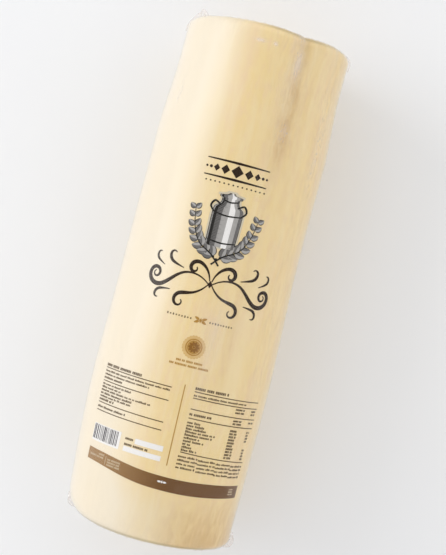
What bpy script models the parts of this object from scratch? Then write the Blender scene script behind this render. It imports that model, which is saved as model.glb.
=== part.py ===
"""A long provolone in its tight, clear shrink bag, lying on its side.

The log runs along Y, with the printed side of the bag up and the head of the print at +Y.
The origin lies on the table under the middle of the log, and +Z points up.
"""
import math

import bmesh
import bpy
from mathutils import Matrix, Vector

NAME = "provolone_cheese"

# Driving dimensions of the log
LENGTH = 0.356
DIAMETER = 0.120
SHOULDER = 0.0060            # radius of the rounded edge round each end
DOME = 0.0020                # bulge of an end face at its middle
HEAD_TAPER = 0.0029          # how much thinner the log is at its head
HEAD_TAPER_SPAN = (0.092, 0.150)
FOOT_TAPER = 0.0010          # and at its foot
FOOT_TAPER_SPAN = (0.128, 0.168)
BELLY = 0.0012               # extra radius at the fattest place
BELLY_PLACE = -0.083
BELLY_REACH = 0.060
BOW = 0.0019                 # the log's two ends lean this far to +X
REST_FLAT = 0.0016           # how deep the underside is pressed flat

# The pinched furrow that runs along the print's right, from the head
FURROW_ANGLE = math.radians(26.5)
FURROW_DEPTH = 0.0016
FURROW_HALF_WIDTH = math.radians(3.6)
FURROW_SPAN = (0.070, 0.115) # it sets in over this stretch
FURROW_AT_RIM = 1.6          # and is this many times deeper at the rim
RIM_DENT = 0.0022            # the head's rim sinks where the furrow meets it
RIM_DENT_HALF_WIDTH = math.radians(17.0)
RIM_REACH = 0.030

# The foot's corner on the left is slumped and rounder than the others
SLUMP = 0.0050
SLUMP_LENGTHWISE = 0.0025
SLUMP_REACH = 0.009
SLUMP_HALF_WIDTH = math.radians(48.0)

# Hand-pressed unevenness of the whole log: depth, waves round it and waves per metre along it
UNEVEN = ((0.00035, 2, 4.9, 0.0), (0.00021, 3, -7.5, 1.3))

# Film seals, where the bag is closed across the middle of each end.
# An ear is a place along the seal, as a share of its length, and how far it stands out there.
SEAL_GAP = 0.0005
SEAL_THICKNESS = 0.0009
SEAL_LENGTHWISE = 0.003      # how far a seal runs round each corner
SEAL_LEAST = 0.0006
SEAL_WAVE = 0.0007
SEAL_WAVES = 9
SEAL_STEPS = 54
BAND_SPAN = (0.09, 0.20)     # the band between the ears sets in here, from either side
EAR_HALF_WIDTH = 0.034
HEAD_SEAL = {"ears": [(0.115, 0.0076), (0.940, 0.0012)], "band": 0.0045, "fold": math.radians(20.0)}
FOOT_SEAL = {"ears": [(0.055, 0.0034), (0.945, 0.0032)], "band": 0.0060, "fold": math.radians(76.0)}

# Fineness of the turned body
TURN_STEPS = 96
SIDE_STATIONS = 26
SHOULDER_STATIONS = 5
FACE_STATIONS = 4

RADIUS = DIAMETER / 2
HALF_LENGTH = LENGTH / 2
HEAD_RADIUS = RADIUS - HEAD_TAPER
FOOT_RADIUS = RADIUS - FOOT_TAPER
AXIS_HEIGHT = RADIUS - REST_FLAT


def ease(value, start, end):
    """Rise smoothly from 0 at start to 1 at end."""
    share = min(1.0, max(0.0, (value - start) / (end - start)))
    return share * share * (3.0 - 2.0 * share)


def bell(value, half_width):
    """A smooth bump of height 1 at zero."""
    return math.exp(-(value / half_width) ** 2)


def turn_between(angle, other):
    """The signed smallest turn from one angle to another."""
    return (angle - other + math.pi) % (2 * math.pi) - math.pi


def side_radius(y):
    """Radius of the turned log's side: a barrel that tapers near both ends."""
    head = HEAD_TAPER * ease(y, *HEAD_TAPER_SPAN)
    foot = FOOT_TAPER * ease(-y, *FOOT_TAPER_SPAN)
    return RADIUS + BELLY * bell(y - BELLY_PLACE, BELLY_REACH) - head - foot


def end_profile(end_radius):
    """Radius and distance from the end plane, from an end's middle out to its side."""
    flat_radius = end_radius - SHOULDER
    points = []
    for step in range(FACE_STATIONS):
        radius = flat_radius * step / FACE_STATIONS
        points.append((radius, DOME * (radius / flat_radius) ** 2))
    for step in range(SHOULDER_STATIONS + 1):
        turn = math.pi / 2 * step / SHOULDER_STATIONS
        radius = flat_radius + SHOULDER * math.sin(turn)
        points.append((radius, DOME + SHOULDER * (1 - math.cos(turn))))
    return points


def log_profile():
    """The turned outline as (radius, y), from the head's middle down to the foot's."""
    head = [(radius, HALF_LENGTH - drop) for radius, drop in end_profile(HEAD_RADIUS)]
    foot = [(radius, drop - HALF_LENGTH) for radius, drop in end_profile(FOOT_RADIUS)]
    top, bottom = head[-1][1], foot[-1][1]
    side = []
    for station in range(1, SIDE_STATIONS):
        y = top + (bottom - top) * station / SIDE_STATIONS
        side.append((side_radius(y), y))
    return head + side + foot[::-1]


def settle(angle, radius, y):
    """Where a point of the turned log really lies, once pressed, pinched and laid down.

    The angle is measured from straight up towards +X.
    """
    out = radius / RADIUS
    for depth, round_it, along_it, start in UNEVEN:
        radius += depth * out * math.sin(round_it * angle + 2 * math.pi * along_it * y + start)

    near_rim = ease(y, HALF_LENGTH - RIM_REACH, HALF_LENGTH)
    deepening = 1 + (FURROW_AT_RIM - 1) * near_rim
    furrow = bell(turn_between(angle, FURROW_ANGLE), FURROW_HALF_WIDTH) * ease(y, *FURROW_SPAN)
    dent = bell(turn_between(angle, FURROW_ANGLE), RIM_DENT_HALF_WIDTH) * near_rim
    radius -= FURROW_DEPTH * furrow * deepening * out
    y -= RIM_DENT * dent * out ** 4

    corner = bell(turn_between(angle, -math.pi / 2), SLUMP_HALF_WIDTH) * out ** 3
    slump = corner * bell(y + HALF_LENGTH, SLUMP_REACH)
    radius -= SLUMP * slump
    y += SLUMP_LENGTHWISE * slump

    lean = BOW * ((y / HALF_LENGTH) ** 2 - 0.5)
    x = radius * math.sin(angle) + lean
    z = AXIS_HEIGHT + radius * math.cos(angle)
    return Vector((x, y, max(z, 0.0)))


def material(name, colour, roughness):
    """A smooth, non-metallic Principled material."""
    made = bpy.data.materials.new(name)
    made.use_nodes = True
    shader = made.node_tree.nodes["Principled BSDF"]
    shader.inputs["Base Color"].default_value = (*colour, 1.0)
    shader.inputs["Roughness"].default_value = roughness
    shader.inputs["Metallic"].default_value = 0.0
    return made


def add_object(name, mesh, collection, surface):
    """Link a mesh as a named object with one material."""
    made = bpy.data.objects.new(name, mesh)
    made.data.materials.append(surface)
    collection.objects.link(made)
    return made


def evaluated_mesh(thing):
    """The object's mesh with its modifiers applied."""
    graph = bpy.context.evaluated_depsgraph_get()
    return bpy.data.meshes.new_from_object(thing.evaluated_get(graph))


def turned_log(collection, surface):
    """The log: an outline turned once round, then settled into its real form."""
    outline = bpy.data.meshes.new("log_outline")
    bm = bmesh.new()
    rings = [bm.verts.new((radius, 0.0, y)) for radius, y in log_profile()]
    for first, second in zip(rings, rings[1:]):
        bm.edges.new((first, second))
    bm.to_mesh(outline)
    bm.free()

    log = add_object("cheese_log", outline, collection, surface)
    turn = log.modifiers.new("turn", "SCREW")
    turn.axis = "Z"
    turn.angle = 2 * math.pi
    turn.steps = TURN_STEPS
    turn.render_steps = TURN_STEPS
    turn.use_merge_vertices = True
    turn.merge_threshold = 0.00005
    bpy.context.view_layer.update()

    turned = evaluated_mesh(log)
    log.modifiers.clear()
    log.data = turned
    turned.name = "cheese_log"

    bm = bmesh.new()
    bm.from_mesh(turned)
    bmesh.ops.remove_doubles(bm, verts=bm.verts, dist=0.00005)
    # The turning axis becomes the log's length
    bmesh.ops.rotate(bm, verts=bm.verts, matrix=Matrix.Rotation(-math.pi / 2, 3, "X"))
    for vertex in bm.verts:
        x, y, z = vertex.co
        vertex.co = settle(math.atan2(x, z), math.hypot(x, z), y)
    bmesh.ops.recalc_face_normals(bm, faces=bm.faces)
    bm.to_mesh(turned)
    bm.free()
    turned.shade_smooth()
    turned.set_sharp_from_angle(angle=math.radians(40.0))
    return log


def seam_route(end, end_radius):
    """Points across an end at mid-height, from its left side to its right side."""
    rim = [(radius, HALF_LENGTH - drop) for radius, drop in end_profile(end_radius)]
    past_corner = rim[-1][1] - SEAL_LENGTHWISE
    rim.append((side_radius(end * past_corner), past_corner))
    left = [settle(-math.pi / 2, radius, end * y) for radius, y in reversed(rim)]
    right = [settle(math.pi / 2, radius, end * y) for radius, y in rim[1:]]
    return left + right


def point_along(route, share):
    """The point and direction at a share of the route's length."""
    lengths = [(b - a).length for a, b in zip(route, route[1:])]
    wanted = share * sum(lengths)
    for a, b, length in zip(route, route[1:], lengths):
        if wanted <= length:
            break
        wanted -= length
    return a.lerp(b, min(1.0, wanted / length)), (b - a).normalized()


def seal_depth(share, sizes):
    """How far the seal stands out: an ear near each corner and a band between them."""
    ears = [size * bell(share - place, EAR_HALF_WIDTH) for place, size in sizes["ears"]]
    return SEAL_LEAST + max(*ears, sizes["band"] * band_share(share))


def band_share(share):
    """1 along the middle of a seal, easing to 0 at its two corners."""
    return ease(min(share, 1 - share), *BAND_SPAN)


def film_seal(name, end, end_radius, sizes, collection, surface):
    """The flattened, wavy seal of the bag across one end, with an ear at each corner."""
    route = seam_route(end, end_radius)
    up = Vector((0.0, 0.0, 1.0))
    mesh = bpy.data.meshes.new(name)
    bm = bmesh.new()
    bmesh.ops.create_grid(bm, x_segments=SEAL_STEPS, y_segments=2, size=0.5)
    for vertex in bm.verts:
        share, across = vertex.co.x + 0.5, vertex.co.y + 0.5
        point, along = point_along(route, share)
        out = Vector((-along.y, along.x, 0.0)).normalized() * end
        fold = sizes["fold"] * band_share(share)
        away = out * math.cos(fold) - up * math.sin(fold)
        swell = out * math.sin(fold) + up * math.cos(fold)
        wave = SEAL_WAVE * math.sin(2 * math.pi * SEAL_WAVES * share + end) * across
        clear = SEAL_GAP + SEAL_THICKNESS / 2 + SEAL_WAVE * math.sin(fold)
        vertex.co = point + out * clear + away * seal_depth(share, sizes) * across + swell * wave
    bmesh.ops.recalc_face_normals(bm, faces=bm.faces)
    bm.to_mesh(mesh)
    bm.free()

    seal = add_object(name, mesh, collection, surface)
    wall = seal.modifiers.new("film", "SOLIDIFY")
    wall.thickness = SEAL_THICKNESS
    wall.offset = 0.0
    mesh.shade_smooth()
    return seal


def centre_over_origin(pieces):
    """Slide the whole part level until the middle of its box stands over the origin."""
    bpy.context.view_layer.update()
    graph = bpy.context.evaluated_depsgraph_get()
    corners = [corner for piece in pieces for corner in piece.evaluated_get(graph).bound_box]
    middle = [(min(row) + max(row)) / 2 for row in zip(*corners)]
    for piece in pieces:
        piece.data.transform(Matrix.Translation((-middle[0], -middle[1], 0.0)))


def main():
    for old in list(bpy.data.objects):
        bpy.data.objects.remove(old)
    collection = bpy.data.collections.new(NAME)
    bpy.context.scene.collection.children.link(collection)

    wrapped_cheese = material("wrapped_cheese", (0.78, 0.58, 0.31), 0.30)
    clear_film = material("clear_film", (0.86, 0.82, 0.74), 0.18)
    centre_over_origin([
        turned_log(collection, wrapped_cheese),
        film_seal("film_seal_head", 1, HEAD_RADIUS, HEAD_SEAL, collection, clear_film),
        film_seal("film_seal_foot", -1, FOOT_RADIUS, FOOT_SEAL, collection, clear_film),
    ])


main()
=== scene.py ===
"""A long provolone in its printed, clear shrink bag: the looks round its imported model.

The log runs along Y with the print up. On the log, a place is given as u, the distance round
from the top towards +X, and y, the distance along it, both in metres.
"""
import math
import random

import bmesh
import bpy
from bpy.props import FloatProperty, FloatVectorProperty, IntProperty, PointerProperty
from mathutils import Matrix, Vector, noise


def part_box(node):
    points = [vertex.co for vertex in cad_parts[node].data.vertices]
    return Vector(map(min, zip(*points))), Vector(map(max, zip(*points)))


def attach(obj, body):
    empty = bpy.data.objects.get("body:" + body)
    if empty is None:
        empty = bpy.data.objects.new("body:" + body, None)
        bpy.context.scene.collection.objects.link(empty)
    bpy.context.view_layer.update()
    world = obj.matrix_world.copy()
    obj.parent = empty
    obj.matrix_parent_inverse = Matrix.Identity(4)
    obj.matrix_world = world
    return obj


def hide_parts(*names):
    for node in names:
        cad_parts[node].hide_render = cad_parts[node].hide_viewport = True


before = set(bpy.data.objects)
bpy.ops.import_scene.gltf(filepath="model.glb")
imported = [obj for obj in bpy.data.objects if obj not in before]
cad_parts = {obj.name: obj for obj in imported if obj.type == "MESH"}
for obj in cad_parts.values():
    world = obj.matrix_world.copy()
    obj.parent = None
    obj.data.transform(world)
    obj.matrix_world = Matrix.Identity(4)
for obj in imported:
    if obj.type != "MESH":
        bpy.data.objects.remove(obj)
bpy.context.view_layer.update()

bl_info = {
    "name": "Wrapped provolone",
    "version": (1, 0, 0),
    "blender": (4, 5, 0),
    "location": "3D View > Sidebar > Provolone",
    "description": "Builds a whole provolone log in its printed shrink bag",
    "category": "Object",
}

MM = 0.001
BODY = "root"
LOG_NODE, HEAD_SEAL_NODE, FOOT_SEAL_NODE = "cheese_log", "film_seal_head", "film_seal_foot"

# The log's own form, as the model has it
LENGTH = 0.356
RADIUS = 0.060
HALF_LENGTH = LENGTH / 2
SHOULDER = 0.0060
DOME = 0.0020
HEAD_TAPER, HEAD_TAPER_SPAN = 0.0029, (0.092, 0.150)
FOOT_TAPER, FOOT_TAPER_SPAN = 0.0010, (0.128, 0.168)
BELLY, BELLY_PLACE, BELLY_REACH = 0.0012, -0.083, 0.060
BOW = 0.0019
REST_FLAT = 0.0016
AXIS_HEIGHT = RADIUS - REST_FLAT
UNDER_GAP = 0.0002
PLEAT_HEIGHT = 0.0004
FURROW_ANGLE, FURROW_HALF_WIDTH = math.radians(26.5), math.radians(3.6)
FURROW_DEPTH, FURROW_SPAN, FURROW_AT_RIM = 0.0016, (0.070, 0.115), 1.6
RIM_DENT, RIM_DENT_HALF_WIDTH, RIM_REACH = 0.0022, math.radians(17.0), 0.030
SLUMP, SLUMP_LENGTHWISE, SLUMP_REACH = 0.0050, 0.0025, 0.009
SLUMP_HALF_WIDTH = math.radians(48.0)
UNEVEN = ((0.00035, 2, 4.9, 0.0), (0.00021, 3, -7.5, 1.3))

# The bag's seals across the ends: an ear is a share of the seal's length and how far it stands out
SEAL_LENGTHWISE = 0.003
SEAL_LEAST = 0.0006
BAND_SPAN = (0.09, 0.20)
EAR_HALF_WIDTH = 0.034
HEAD_SEAL = {"ears": [(0.115, 0.0076), (0.940, 0.0012)], "band": 0.0045, "fold": math.radians(20.0)}
FOOT_SEAL = {"ears": [(0.055, 0.0034), (0.945, 0.0032)], "band": 0.0060, "fold": math.radians(76.0)}


# ---------------------------------------------------------------- the log's surface

def ease(value, start, end):
    """Rise smoothly from 0 at start to 1 at end."""
    share = min(1.0, max(0.0, (value - start) / (end - start)))
    return share * share * (3.0 - 2.0 * share)


def bell(value, half_width):
    """A smooth bump of height 1 at zero."""
    return math.exp(-(value / half_width) ** 2)


def turn_between(angle, other):
    """The signed smallest turn from one angle to another."""
    return (angle - other + math.pi) % (2 * math.pi) - math.pi


def side_radius(y):
    """Radius of the turned log's side: a barrel that tapers near both ends."""
    head = HEAD_TAPER * ease(y, *HEAD_TAPER_SPAN)
    foot = FOOT_TAPER * ease(-y, *FOOT_TAPER_SPAN)
    return RADIUS + BELLY * bell(y - BELLY_PLACE, BELLY_REACH) - head - foot


def end_profile(end_radius, gap, face_stations, shoulder_stations):
    """Radius and distance from the end plane, from an end's middle out to its side."""
    flat_radius = end_radius - SHOULDER
    points = []
    for step in range(face_stations):
        radius = flat_radius * step / face_stations
        points.append((radius, DOME * (radius / flat_radius) ** 2 - gap))
    for step in range(shoulder_stations + 1):
        turn = math.pi / 2 * step / shoulder_stations
        corner = SHOULDER + gap
        radius = flat_radius + corner * math.sin(turn)
        points.append((radius, DOME + SHOULDER - corner * math.cos(turn)))
    return points


def log_profile(gap, side_stations, face_stations, shoulder_stations):
    """The turned outline as (radius, y), gap outside the cheese, from the head's middle down."""
    stations = (face_stations, shoulder_stations)
    head = [(r, HALF_LENGTH - d) for r, d in end_profile(RADIUS - HEAD_TAPER, gap, *stations)]
    foot = [(r, d - HALF_LENGTH) for r, d in end_profile(RADIUS - FOOT_TAPER, gap, *stations)]
    top, bottom = head[-1][1], foot[-1][1]
    side = []
    for station in range(1, side_stations):
        y = top + (bottom - top) * station / side_stations
        side.append((side_radius(y) + gap, y))
    return head + side + foot[::-1]


def settle(angle, radius, y):
    """Where a point of the turned log really lies, once pressed, pinched and laid down.

    The angle is measured from straight up towards +X.
    """
    out = radius / RADIUS
    for depth, round_it, along_it, start in UNEVEN:
        radius += depth * out * math.sin(round_it * angle + 2 * math.pi * along_it * y + start)

    near_rim = ease(y, HALF_LENGTH - RIM_REACH, HALF_LENGTH)
    deepening = 1 + (FURROW_AT_RIM - 1) * near_rim
    furrow = bell(turn_between(angle, FURROW_ANGLE), FURROW_HALF_WIDTH) * ease(y, *FURROW_SPAN)
    dent = bell(turn_between(angle, FURROW_ANGLE), RIM_DENT_HALF_WIDTH) * near_rim
    radius -= FURROW_DEPTH * furrow * deepening * out
    y -= RIM_DENT * dent * out ** 4

    corner = bell(turn_between(angle, -math.pi / 2), SLUMP_HALF_WIDTH) * out ** 3
    slump = corner * bell(y + HALF_LENGTH, SLUMP_REACH)
    radius -= SLUMP * slump
    y += SLUMP_LENGTHWISE * slump

    lean = BOW * ((y / HALF_LENGTH) ** 2 - 0.5)
    x = radius * math.sin(angle) + lean
    z = AXIS_HEIGHT + radius * math.cos(angle)
    return Vector((x, y, max(z, 0.0)))


def frame_shift():
    """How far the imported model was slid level, so that its box stands over the origin."""
    points = [settle(2 * math.pi * step / 96, radius, y)
              for radius, y in log_profile(0.0, 26, 4, 5) for step in range(96)]
    low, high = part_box(LOG_NODE)
    slide = [(low[axis] + high[axis] - min(p[axis] for p in points) - max(p[axis] for p in points))
             / 2 for axis in (0, 1)]
    return Vector((*slide, 0.0))


SHIFT = frame_shift()


def on_log(u, y, lift):
    """The place lift metres off the cheese, u round from the top and y along."""
    along = y - SHIFT.y
    return settle(u / RADIUS, side_radius(along) + lift, along) + SHIFT


# ---------------------------------------------------------------- shader writing

class Wire:
    """A shader socket that can stand in a sum, where each operator adds a Math node."""

    def __init__(self, finish, socket):
        self.finish, self.socket = finish, socket

    def maths(self, operation, *values):
        return self.finish.node("ShaderNodeMath", {"operation": operation}, dict(enumerate(values)))

    def __add__(self, other):
        return self.maths("ADD", self, other)

    def __sub__(self, other):
        return self.maths("SUBTRACT", self, other)

    def __rsub__(self, other):
        return self.maths("SUBTRACT", other, self)

    def __mul__(self, other):
        return self.maths("MULTIPLY", self, other)

    def __truediv__(self, other):
        return self.maths("DIVIDE", self, other)

    def __rtruediv__(self, other):
        return self.maths("DIVIDE", other, self)

    def __pow__(self, other):
        return self.maths("POWER", self, other)

    def __abs__(self):
        return self.maths("ABSOLUTE", self)

    __radd__ = __add__
    __rmul__ = __mul__

    def least(self, other):
        return self.maths("MINIMUM", self, other)

    def eased(self, start, end, low=0.0, high=1.0):
        """Smoothly from low at start to high at end."""
        return self.finish.node(
            "ShaderNodeMapRange", {"interpolation_type": "SMOOTHSTEP"},
            {"Value": self, "From Min": start, "From Max": end, "To Min": low, "To Max": high})


class Finish:
    """The nodes of one material, or of the room's light."""

    def __init__(self, owner):
        self.owner = bpy.data.materials.new(owner) if isinstance(owner, str) else owner
        self.owner.use_nodes = True
        self.tree = self.owner.node_tree
        self.tree.nodes.clear()

    def node(self, kind, settings=None, sockets=None, output=0):
        """Add a node, set it, fill or link its sockets, and return one of its outputs."""
        made = self.tree.nodes.new(kind)
        for name, value in (settings or {}).items():
            if name == "stops":
                ramp = made.color_ramp
                while len(ramp.elements) < len(value):
                    ramp.elements.new(0.5)
                for element, (place, colour) in zip(ramp.elements, value):
                    element.position, element.color = place, (*colour, 1.0)
            else:
                setattr(made, name, value)
        for place, value in (sockets or {}).items():
            if isinstance(value, Wire):
                self.tree.links.new(value.socket, made.inputs[place])
            else:
                made.inputs[place].default_value = value
        return Wire(self, made.outputs[output])

    def place(self):
        """Where a point is on the piece."""
        return self.node("ShaderNodeTexCoord", output="Object")

    def stretched(self, place, scale):
        """A place scaled along each axis, to draw a pattern out."""
        return self.node("ShaderNodeMapping", {"vector_type": "POINT"},
                         {"Vector": place, "Scale": scale})

    def mottle(self, place, scale, detail=3.0, roughness=0.5, distortion=0.0):
        """Soft noise from 0 to 1."""
        return self.node("ShaderNodeTexNoise", None,
                         {"Vector": place, "Scale": scale, "Detail": detail,
                          "Roughness": roughness, "Distortion": distortion})

    def mixed(self, factor, first, second, blend="MIX"):
        """One colour over another."""
        return self.node("ShaderNodeMix", {"data_type": "RGBA", "blend_type": blend},
                         {0: factor, 6: colour(first), 7: colour(second)}, output=2)

    def bumped(self, height, distance, strength=1.0):
        return self.node("ShaderNodeBump", None,
                         {"Height": height, "Distance": distance, "Strength": strength})

    def principled(self, **sockets):
        named = {name.replace("_", " "): value for name, value in sockets.items()}
        return self.node("ShaderNodeBsdfPrincipled", None, named)

    def blended(self, factor, first, second):
        """Two shaders through one Mix Shader."""
        return self.node("ShaderNodeMixShader", None, {0: factor, 1: first, 2: second})

    def done(self, surface, kind="ShaderNodeOutputMaterial"):
        end = self.tree.nodes.new(kind)
        self.tree.links.new(surface.socket, end.inputs["Surface"])
        return self.owner


def colour(value):
    """A colour as a socket takes it."""
    return value if isinstance(value, Wire) else (*value[:3], 1.0)


def cheese_finish(settings):
    """Pale, buttery provolone: soft blotches and faint lengthwise pressing marks, with painted shade round the
    rims, in the furrow, down the right side and at the foot, and painted light down the left side.
    """
    finish = Finish("provolone")
    place = finish.place()
    pressed = finish.mottle(finish.stretched(place, (1.0, 0.06, 1.0)), 170.0, 3.0, 0.55, 0.8)
    streaked = finish.mottle(finish.stretched(place, (1.0, 0.10, 1.0)), 72.0, 3.0, 0.6, 0.5)
    broad = finish.mottle(finish.stretched(place, (1.0, 0.30, 1.0)), 42.0, 3.0, 0.5, 0.3)
    blotch = finish.mottle(finish.stretched(place, (1.0, 0.65, 1.0)), 70.0, 3.0, 0.55, 0.5)
    patch = finish.mottle(finish.stretched(place, (0.9, 0.5, 1.1)), 48.0, 3.0, 0.6, 0.8)
    fleck = finish.mottle(finish.stretched(place, (1.0, 0.35, 1.0)), 270.0, 3.0, 0.6, 0.6)
    grain = finish.mottle(place, 900.0, 3.0, 0.6)
    body = finish.mixed((blotch * 0.6 + broad * 0.4).eased(0.36, 0.64),
                        settings.colour, settings.blotch_colour)
    body = finish.mixed((patch * 0.5 + streaked * 0.5).eased(0.48, 0.64, 0.0, 0.75), body,
                        settings.rosy_colour)
    body = finish.mixed(pressed.eased(0.42, 0.66, 0.0, 0.50), body, settings.pale_colour)
    body = finish.mixed(fleck.eased(0.48, 0.70, 0.0, 0.60), body, settings.rosy_colour)
    body = finish.mixed(fleck.eased(0.28, 0.46, 0.32, 0.0), body, settings.pale_colour)
    # Painted shade along the pinch, in the furrow, down the right side and at the foot, broken up by the
    # patches.
    tan = finish.node("ShaderNodeAttribute", {"attribute_name": "tan"}, output="Fac")
    roughened = patch.eased(0.35, 0.65) * 0.45 + fleck.eased(0.34, 0.66) * 0.55
    body = finish.mixed(tan * (roughened + 0.45), body, settings.painted_shade_colour)
    # Painted light down the left side and at the foot.
    pale = finish.node("ShaderNodeAttribute", {"attribute_name": "pale"}, output="Fac")
    body = finish.mixed(pale * (broad * 0.3 + 0.85), body, settings.painted_light_colour)
    # Painted shade round the shoulders.
    rim = finish.node("ShaderNodeAttribute", {"attribute_name": "rim"}, output="Fac")
    body = finish.mixed(rim * settings.shoulder_shade_strength, body, settings.shoulder_shade_colour)
    height = pressed * 0.5 + grain * 0.25 + blotch * 0.7
    return finish.done(finish.principled(
        Base_Color=body, Roughness=(grain * 0.12 + 0.44), Specular_IOR_Level=0.35,
        Normal=finish.bumped(height, 0.00025, 0.5)))


def film_finish(name, settings, haze_least, haze_most):
    """Clear, tight shrink film: a faint gloss, fine drawn-out creases and a milky bloom, with painted glints
    as white specks on the creases.
    """
    finish = Finish(name)
    place = finish.place()
    fine = finish.mottle(finish.stretched(place, (1.0, 0.16, 1.0)), 560.0, 2.0, 0.55, 0.4)
    drawn = finish.mottle(finish.stretched(place, (1.0, 0.16, 1.0)), 140.0, 2.0, 0.5, 0.5)
    cloudy = finish.mottle(finish.stretched(place, (1.0, 0.45, 1.0)), 110.0, 3.0, 0.6, 0.6)
    speckle = finish.mottle(finish.stretched(place, (1.0, 0.5, 1.0)), 900.0, 2.0, 0.6)
    crease = finish.node("ShaderNodeAttribute", {"attribute_name": "crease"}, output="Fac")
    milky = finish.node("ShaderNodeAttribute", {"attribute_name": "bloom"}, output="Fac")
    creases = drawn * 0.8 + fine * (0.08 + crease * 0.4) + speckle * crease * 0.45
    normal = finish.bumped(creases, settings.crease_depth, 1.0)
    facing = finish.node("ShaderNodeLayerWeight", None, {"Blend": 0.5, "Normal": normal},
                         output="Facing")
    mirrored = facing ** 5.0 * (1.0 - settings.gloss) + settings.gloss
    gloss = finish.node("ShaderNodeBsdfGlossy", {"distribution": "GGX"},
                        {"Color": (1.0, 1.0, 1.0, 1.0), "Roughness": settings.gloss_roughness,
                         "Normal": normal})
    clear = finish.node("ShaderNodeBsdfTransparent", None, {"Color": (1.0, 1.0, 1.0, 1.0)})
    skin = finish.blended(mirrored, clear, gloss)
    bloom = finish.principled(Base_Color=colour(settings.bloom_colour), Roughness=0.42,
                              Specular_IOR_Level=0.5, Normal=normal)
    threads = (fine.eased(0.42, 0.70) * 0.35 + drawn.eased(0.38, 0.70) * 0.25
               + cloudy.eased(0.42, 0.66) * 0.40)
    # Painted glints: white specks of bloom on the creases.
    painted_glints = speckle.eased(0.58, 0.70) * crease.eased(0.28, 0.60) * 0.45
    haze = (milky * (threads * 0.3 + 0.85) + crease * threads * haze_most
            + threads * haze_least + painted_glints).least(0.9)
    return finish.done(finish.blended(haze, skin, bloom))


def ink_finish(name, tint, painted_highlight_tint=None):
    """Printing ink under the film, very slightly uneven in cover.

    The tint given for the left is a painted highlight: the paler colour the ink takes towards the log's left,
    where the window's light is mirrored.
    """
    finish = Finish(name)
    place = finish.place()
    cover = finish.mottle(place, 420.0, 3.0, 0.6)
    worn = finish.mottle(finish.stretched(place, (1.0, 0.12, 1.0)), 160.0, 3.0, 0.5)
    lighter = tuple(part + 0.15 * part * (1.0 - part) + 0.004 for part in tint[:3])
    shade = finish.mixed((cover * 0.6 + worn * 0.4).eased(0.38, 0.68), tint, lighter)
    # Painted highlight: the ink pales towards the log's left.
    if painted_highlight_tint:
        across = finish.node("ShaderNodeSeparateXYZ", None, {0: place}, output="X")
        shade = finish.mixed(across.eased(-48 * MM, 18 * MM, 1.0, 0.0), shade, painted_highlight_tint)
    return finish.done(finish.principled(
        Base_Color=shade, Roughness=cover * 0.1 + 0.5, Specular_IOR_Level=0.12,
        Normal=finish.bumped(cover, 0.00004, 0.4)))


# ---------------------------------------------------------------- making pieces

def add_piece(name, bm, material, replaced=None, sharp=None):
    """A finished bmesh becomes a piece of the object."""
    mesh = bpy.data.meshes.new(name)
    bm.to_mesh(mesh)
    bm.free()
    mesh.shade_smooth()
    if sharp:
        mesh.set_sharp_from_angle(angle=sharp)
    mesh.materials.append(material)
    piece = bpy.data.objects.new(name, mesh)
    bpy.context.scene.collection.objects.link(piece)
    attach(piece, BODY)
    if replaced:
        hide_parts(replaced)
    return piece


def turned(profile, steps):
    """A closed body turned once about Y from an outline of (radius, y)."""
    bm = bmesh.new()
    line = [bm.verts.new((0.0, y, radius)) for radius, y in profile]
    edges = [bm.edges.new(pair) for pair in zip(line, line[1:])]
    bmesh.ops.spin(bm, geom=line + edges, cent=(0, 0, 0), axis=(0, 1, 0), dvec=(0, 0, 0),
                   angle=2 * math.pi, steps=steps, use_merge=True, use_duplicate=False)
    bmesh.ops.remove_doubles(bm, verts=bm.verts, dist=0.00002)
    bmesh.ops.recalc_face_normals(bm, faces=bm.faces)
    return bm


def lay_down(bm, extra=None):
    """Move a turned body's points to where the settled log has them."""
    for vertex in bm.verts:
        x, y, z = vertex.co
        angle, radius = math.atan2(x, z), math.hypot(x, z)
        if extra:
            radius, y = extra(angle, radius, y)
        vertex.co = settle(angle, radius, y) + SHIFT


def crease_places(u, y):
    """How creased and milky the film is at a place, from 0 to 1."""
    furrow = bell(u - 26 * MM - 3 * MM * math.sin(y * 60), 8 * MM) * ease(y, 62 * MM, 115 * MM)
    frosted = bell(u - 27.5 * MM, 5 * MM) * bell(y - 108 * MM, 7 * MM) * 0.5
    left_of_furrow = bell(u - 17 * MM, 8 * MM) * ease(y, 96 * MM, 150 * MM) * 0.25
    right_side = bell(u - 62 * MM, 11 * MM) * 0.50 * bell(y - 110 * MM, 55 * MM)
    right_low = bell(u - 58 * MM, 14 * MM) * 0.22 * bell(y + 20 * MM, 75 * MM)
    waist = bell(u - 14 * MM, 7 * MM) * bell(y + 34 * MM, 20 * MM) * 0.10
    left_streak = bell(u + 59 * MM, 2.5 * MM) * bell(y - 122 * MM, 8 * MM) * 0.9
    ends = ease(abs(y), 155 * MM, 178 * MM) * 0.10
    places = (furrow * 0.24, frosted, left_of_furrow, right_side, right_low, waist, left_streak,
              ends)
    return min(1.0, 0.02 + sum(places))


def bloom_places(u, y):
    """How evenly milky the film is at a place, least over the print; the bloom down the left side is a painted
    highlight.
    """
    # Painted highlight: milky bloom down the left side, where the light falls.
    left = 0.05 * ease(-u, 20 * MM, 50 * MM)
    right = 0.04 * ease(u, 54 * MM, 78 * MM)
    waist = 0.22 * bell(u - 14.5 * MM, 6.5 * MM) * bell(y + 30 * MM, 19 * MM)
    below_waist = 0.09 * bell(u - 13 * MM, 6 * MM) * bell(y + 66 * MM, 22 * MM)
    by_rim = 0.36 * bell(u - 25 * MM, 3.2 * MM) * bell(y - 157 * MM, 10 * MM)
    in_furrow = 0.08 * bell(u - 22.5 * MM, 7 * MM) * bell(y - 124 * MM, 20 * MM)
    ticks = 0.55 * bell(y - 164 * MM, 1.2 * MM) * (
        bell(u + 5.5 * MM, 3.6 * MM) + bell(u - 5.2 * MM, 1.6 * MM))
    return left + right + waist + below_waist + by_rim + in_furrow + ticks


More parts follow.
